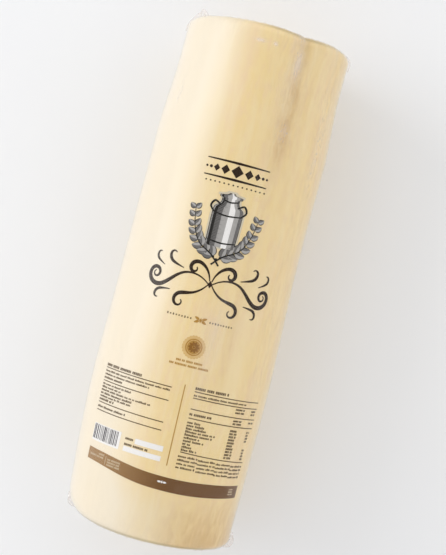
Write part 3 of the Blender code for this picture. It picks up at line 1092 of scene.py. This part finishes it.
class PROVOLONE_OT_middle_line(bpy.types.Operator):
    """Print the small line with its gold ornament, and the gold seal below it"""
    bl_idname = "provolone.middle_line"
    bl_label = "Small line and seal"

    def execute(self, context):
        settings = context.scene.provolone_print
        chance = random.Random(settings.seed)
        inks = Inks(settings)
        brown, gold, pale = inks.sheet("fine_brown"), inks.sheet("gold", 1), inks.sheet("pale_gold")
        for start, end in ((-18.8, -3.0), (10.0, 25.0)):
            for step in range(9):
                u = start + (end - start) * step / 8
                block(brown, u * MM, -25.9 * MM, 0.80 * MM, chance.choice((1.0, 1.4)) * MM)
        centre = Vector((3.6 * MM, -25.9 * MM))
        for turn in (0.42, -0.42, math.pi + 0.42, math.pi - 0.42):
            away = Vector((math.cos(turn), math.sin(turn)))
            stroke(gold, [tuple(centre + away * 1.0 * MM), tuple(centre + away * 4.5 * MM)],
                   leaf_width(1.3 * MM), 12)
        lozenge(gold, *centre, 1.9 * MM, 3.4 * MM)

        u, y = 3.6 * MM, -44.0 * MM
        ring(pale, u, y, 5.6 * MM, 1.75 * MM, 96, 0.55 * MM, 24)
        disc(gold, u, y, 5.7 * MM, 48)
        ring(inks.sheet("pale_gold", 2), u, y, 4.5 * MM, 0.32 * MM)
        for step in range(10):
            turn = 2 * math.pi * step / 10
            away = Vector((math.cos(turn), math.sin(turn)))
            root, tip = Vector((u, y)) + away * 1.0 * MM, Vector((u, y)) + away * 3.9 * MM
            stroke(inks.sheet("dark_gold", 2), [tuple(root), tuple(tip)],
                   leaf_width(1.35 * MM), 10)
        disc(inks.sheet("dark_gold", 2), u, y, 0.75 * MM, 16)
        words(inks.sheet("gold"), -5.8 * MM, 13.2 * MM, -54.1 * MM, 1.35 * MM, chance, True)
        words(inks.sheet("gold"), -9.8 * MM, 16.5 * MM, -56.9 * MM, 1.35 * MM, chance, True)
        inks.wrap("seal")
        return {"FINISHED"}


class PROVOLONE_OT_panels(bpy.types.Operator):
    """Print the fine-print block, the table, the bar block and the blank fields"""
    bl_idname = "provolone.panels"
    bl_label = "Fine print"

    def execute(self, context):
        settings = context.scene.provolone_print
        chance = random.Random(settings.seed + 1)
        inks = Inks(settings)
        self.left_block(inks, chance)
        self.bars_and_fields(inks, chance)
        self.table(inks, chance)
        rule(inks.sheet("gold"), (4.1 * MM, -69.1 * MM), (4.6 * MM, -123.6 * MM), 0.6 * MM)
        inks.wrap("panels")
        return {"FINISHED"}

    def left_block(self, inks, chance):
        brown = inks.sheet("fine_brown")
        left, right = -57.1 * MM, -4.1 * MM
        words(brown, left, -24.2 * MM, -70.9 * MM, 1.75 * MM, chance, True)
        for y in (-72.9, -81.9, -96.6, -102.0):
            rule(brown, (left, y * MM), (right, y * MM), 0.62 * MM)
        lines = ((-75.0, -4.5, 1.3), (-77.3, -18.0, 1.3), (-79.6, -38.0, 1.6),
                 (-83.9, -30.0, 1.3), (-86.0, -38.0, 1.3), (-88.1, -15.0, 1.3),
                 (-90.2, -26.5, 1.5), (-92.3, -27.0, 1.3), (-94.4, -41.0, 1.6), (-99.4, -30.0, 1.5))
        for y, end, height in lines:
            words(brown, left, end * MM, y * MM, height * MM, chance)

    def bars_and_fields(self, inks, chance):
        brown, white, bars = inks.sheet("fine_brown"), inks.sheet("white"), inks.sheet("bar_grey", 1)
        block(white, -42.8 * MM, -116.6 * MM, 25.6 * MM, 11.6 * MM)
        u = -54.9 * MM
        while u < -31.6 * MM:
            width = chance.choice((0.35, 0.55, 0.80, 1.10)) * MM
            block(bars, u + width / 2, -116.2 * MM, width, 9.8 * MM)
            u += width + chance.choice((0.40, 0.55, 0.75, 1.0)) * MM
        words(brown, -26.4 * MM, -19.8 * MM, -113.6 * MM, 1.4 * MM, chance, True)
        words(brown, -26.4 * MM, -8.6 * MM, -117.4 * MM, 1.4 * MM, chance, True)
        block(white, -9.7 * MM, -113.7 * MM, 19.2 * MM, 3.6 * MM)
        block(white, -13.4 * MM, -120.4 * MM, 26.2 * MM, 3.4 * MM)

    def table(self, inks, chance):
        brown = inks.sheet("fine_brown")
        left, right = 11.2 * MM, 66.8 * MM
        words(brown, left, 35.4 * MM, -69.9 * MM, 1.75 * MM, chance, True)
        rules = ((-72.1, -72.5), (-76.4, -76.9), (-83.7, -84.5), (-89.8, -90.6), (-112.8, -114.7))
        for start, end in rules:
            rule(brown, (left, start * MM), (right, end * MM), 0.62 * MM)
        words(brown, left, 53.0 * MM, -74.5 * MM, 1.35 * MM, chance)
        words(brown, left, 27.0 * MM, -87.2 * MM, 1.5 * MM, chance, True)
        for y in (-78.6, -80.8, -86.4, -88.4):
            words(brown, 44.0 * MM, 52.7 * MM, y * MM, 1.2 * MM, chance, True)
        for y in (-78.9, -81.1, -87.0):
            words(brown, 60.2 * MM, 66.0 * MM, y * MM, 1.2 * MM, chance, True)
        for step, end in enumerate((20, 24, 27, 33, 31, 22.5, 26, 17.5, 18, 22)):
            y = (-92.6 - step * 2.06) * MM
            words(brown, left, end * MM, y, 1.55 * MM, chance)
            words(brown, 43.4 * MM, 50.2 * MM, y - 0.7 * MM, 1.4 * MM, chance, True)
            if step not in (4, 5):
                words(brown, 60.8 * MM, 64.4 * MM, y - 1.0 * MM, 1.3 * MM, chance, True)
        for step in range(4):
            y, drop = (-115.6 - step * 2.5) * MM, 2.4 * MM
            part_start = 10.4 * MM
            for part in range(4):
                part_end = part_start + 14.0 * MM
                words(brown, part_start, part_end, y - drop * part / 4, 1.4 * MM, chance)
                part_start = part_end


def band_rise(u):
    """The bag has shrunk the print up a little on the left."""
    return 3.3 * MM * ease(-u, 2 * MM, 57 * MM)


class PROVOLONE_OT_band(bpy.types.Operator):
    """Print the brown band at the foot with its small white marks"""
    bl_idname = "provolone.band"
    bl_label = "Brown band"

    def execute(self, context):
        settings = context.scene.provolone_print
        chance = random.Random(settings.seed + 2)
        inks = Inks(settings)
        band = inks.sheet("band")
        start, end = -56.3 * MM, 69.2 * MM
        made = bmesh.ops.create_grid(band, x_segments=64, y_segments=4, size=0.5)["verts"]
        for vertex in made:
            u = start + (end - start) * (vertex.co.x + 0.5)
            height = 9.3 * MM - 1.3 * MM * ease(-u, 10 * MM, 57 * MM) - 0.6 * MM * ease(u, 30 * MM, 68 * MM)
            sway = 0.5 * MM * bell(u + 34 * MM, 18 * MM) - 0.6 * MM * bell(u - 17 * MM, 20 * MM)
            top = -130.8 * MM + band_rise(u) + sway - 0.3 * MM * ease(u, 30 * MM, 68 * MM)
            vertex.co = (u, top - height * (0.5 - vertex.co.y), 0.0)
        white, cream = inks.sheet("white", 1), inks.sheet("cream", 1)
        for row, (left, right) in enumerate(((-44.6, -39.0), (-53.6, -39.0))):
            words(cream, left * MM, right * MM, (-131.3 - row * 1.9) * MM + band_rise(-46 * MM) - 1.4 * MM,
                  1.2 * MM, chance, True)
        rule(cream, (-37.9 * MM, -129.6 * MM), (-37.9 * MM, -135.4 * MM), 0.4 * MM)
        for row in range(3):
            words(cream, -36.2 * MM, -24.8 * MM, (-132.9 - row * 1.8) * MM + band_rise(-30 * MM),
                  1.2 * MM, chance, True)
        for way in (-1, 1):
            stroke(white, [(4.0 * MM + way * 0.7 * MM, -134.9 * MM), (4.0 * MM + way * 3.1 * MM, -134.9 * MM)],
                   leaf_width(1.0 * MM), 10)
        lozenge(white, 4.0 * MM, -134.9 * MM, 1.3 * MM, 2.2 * MM)
        for row in range(3):
            words(cream, 57.4 * MM, 63.2 * MM, (-133.6 - row * 1.7) * MM, 1.0 * MM, chance, True)
        inks.wrap("band")
        return {"FINISHED"}


class PROVOLONE_OT_stage(bpy.types.Operator):
    """Set the pale floor, the soft light and the camera"""
    bl_idname = "provolone.stage"
    bl_label = "Stage"

    def execute(self, context):
        settings = context.scene.provolone_stage
        self.floor(settings)
        self.light(context, settings)
        self.camera(context, settings)
        context.scene.view_settings.view_transform = "Standard"
        return {"FINISHED"}

    def floor(self, settings):
        bm = bmesh.new()
        bmesh.ops.create_grid(bm, x_segments=4, y_segments=4, size=30.0)
        mesh = bpy.data.meshes.new("floor")
        bm.to_mesh(mesh)
        bm.free()
        floor = bpy.data.objects.new("floor", mesh)
        bpy.context.scene.collection.objects.link(floor)
        finish = Finish("pale_floor")
        place = finish.place()
        cloud = finish.mottle(place, 3.0, 2.0, 0.5)
        grit = finish.mottle(place, 900.0, 2.0, 0.5)
        whole = tuple(settings.floor_colour)
        shade = finish.mixed(cloud.eased(0.3, 0.7), whole, tuple(part * 0.985 for part in whole))
        mesh.materials.append(finish.done(finish.principled(
            Base_Color=shade, Roughness=0.85, Specular_IOR_Level=0.2,
            Normal=finish.bumped(grit, 0.0001, 0.15))))

    def light(self, context, settings):
        room = Finish(bpy.data.worlds.new("room"))
        heading = room.node("ShaderNodeTexCoord", output="Generated")
        across = room.node("ShaderNodeSeparateXYZ", None, {0: heading}, output="X")
        height = room.node("ShaderNodeSeparateXYZ", None, {0: heading}, output="Z")
        ahead = room.node("ShaderNodeSeparateXYZ", None, {0: heading}, output="Y")
        ceiling = 1.0 - height.eased(0.80, 0.97) * 0.75
        sides = across.eased(-1.0, 1.0, 0.94, 1.06) * ahead.eased(-1.0, 1.0, 0.93, 1.07)
        strength = ceiling * sides * settings.sky_strength
        context.scene.world = room.done(
            room.node("ShaderNodeBackground", None,
                      {"Color": (1.0, 1.0, 1.0, 1.0), "Strength": strength}),
            "ShaderNodeOutputWorld")
        window = bpy.data.lights.new("window", "AREA")
        window.shape = "RECTANGLE"
        window.size, window.size_y = 1.6, 1.4
        window.energy = settings.window_power
        window.color = (1.0, 0.99, 0.975)
        holder = bpy.data.objects.new("window", window)
        context.scene.collection.objects.link(holder)
        place, aim = Vector((-2.0, 0.40, 1.05)), Vector((0.0, 0.0, 0.06))
        away = (place - aim).normalized()
        side = Vector((0, 0, 1)).cross(away).normalized()
        turned_to = Matrix((side, away.cross(side), away)).transposed().to_4x4()
        holder.matrix_world = Matrix.Translation(place) @ turned_to
        holder.visible_camera = False

    def camera(self, context, settings):
        lens = bpy.data.cameras.new("camera")
        lens.lens = settings.focal_length
        lens.sensor_width = 36.0
        lens.clip_start, lens.clip_end = 0.01, 50.0
        holder = bpy.data.objects.new("camera", lens)
        context.scene.collection.objects.link(holder)
        place, aim = Vector(settings.camera_place), Vector(settings.camera_target)
        roll = settings.camera_roll
        away = (place - aim).normalized()
        up = Vector((-math.sin(roll), math.cos(roll), 0.0))
        side = up.cross(away).normalized()
        turned_to = Matrix((side, away.cross(side), away)).transposed().to_4x4()
        holder.matrix_world = Matrix.Translation(place) @ turned_to
        context.scene.camera = holder


class PROVOLONE_PT_panel(bpy.types.Panel):
    """Every piece of the wrapped provolone, with its sizes and colours"""
    bl_idname = "PROVOLONE_PT_panel"
    bl_label = "Wrapped provolone"
    bl_space_type = "VIEW_3D"
    bl_region_type = "UI"
    bl_category = "Provolone"

    def draw(self, context):
        scene = context.scene
        for title, settings, operators in SECTIONS:
            box = self.layout.box()
            box.label(text=title)
            group = getattr(scene, settings)
            for name in group.__annotations__:
                box.prop(group, name)
            for operator in operators:
                box.operator(operator.bl_idname)


OPERATORS = (PROVOLONE_OT_log, PROVOLONE_OT_film, PROVOLONE_OT_seals, PROVOLONE_OT_title,
             PROVOLONE_OT_picture, PROVOLONE_OT_flourish, PROVOLONE_OT_middle_line,
             PROVOLONE_OT_panels, PROVOLONE_OT_band, PROVOLONE_OT_stage)
GROUPS = {"provolone_log": ProvoloneLogSettings, "provolone_film": ProvoloneFilmSettings,
          "provolone_print": ProvolonePrintSettings, "provolone_stage": ProvoloneStageSettings}
SECTIONS = (("Cheese", "provolone_log", OPERATORS[:1]), ("Film", "provolone_film", OPERATORS[1:3]),
            ("Print", "provolone_print", OPERATORS[3:9]), ("Stage", "provolone_stage", OPERATORS[9:]))
CLASSES = (*GROUPS.values(), *OPERATORS, PROVOLONE_PT_panel)


def register():
    for kind in CLASSES:
        bpy.utils.register_class(kind)
    for name, group in GROUPS.items():
        setattr(bpy.types.Scene, name, PointerProperty(type=group))


def unregister():
    for name in GROUPS:
        delattr(bpy.types.Scene, name)
    for kind in reversed(CLASSES):
        bpy.utils.unregister_class(kind)


def main():
    register()
    for operator in OPERATORS:
        group, name = operator.bl_idname.split(".")
        getattr(getattr(bpy.ops, group), name)()


if __name__ == "__main__":
    main()
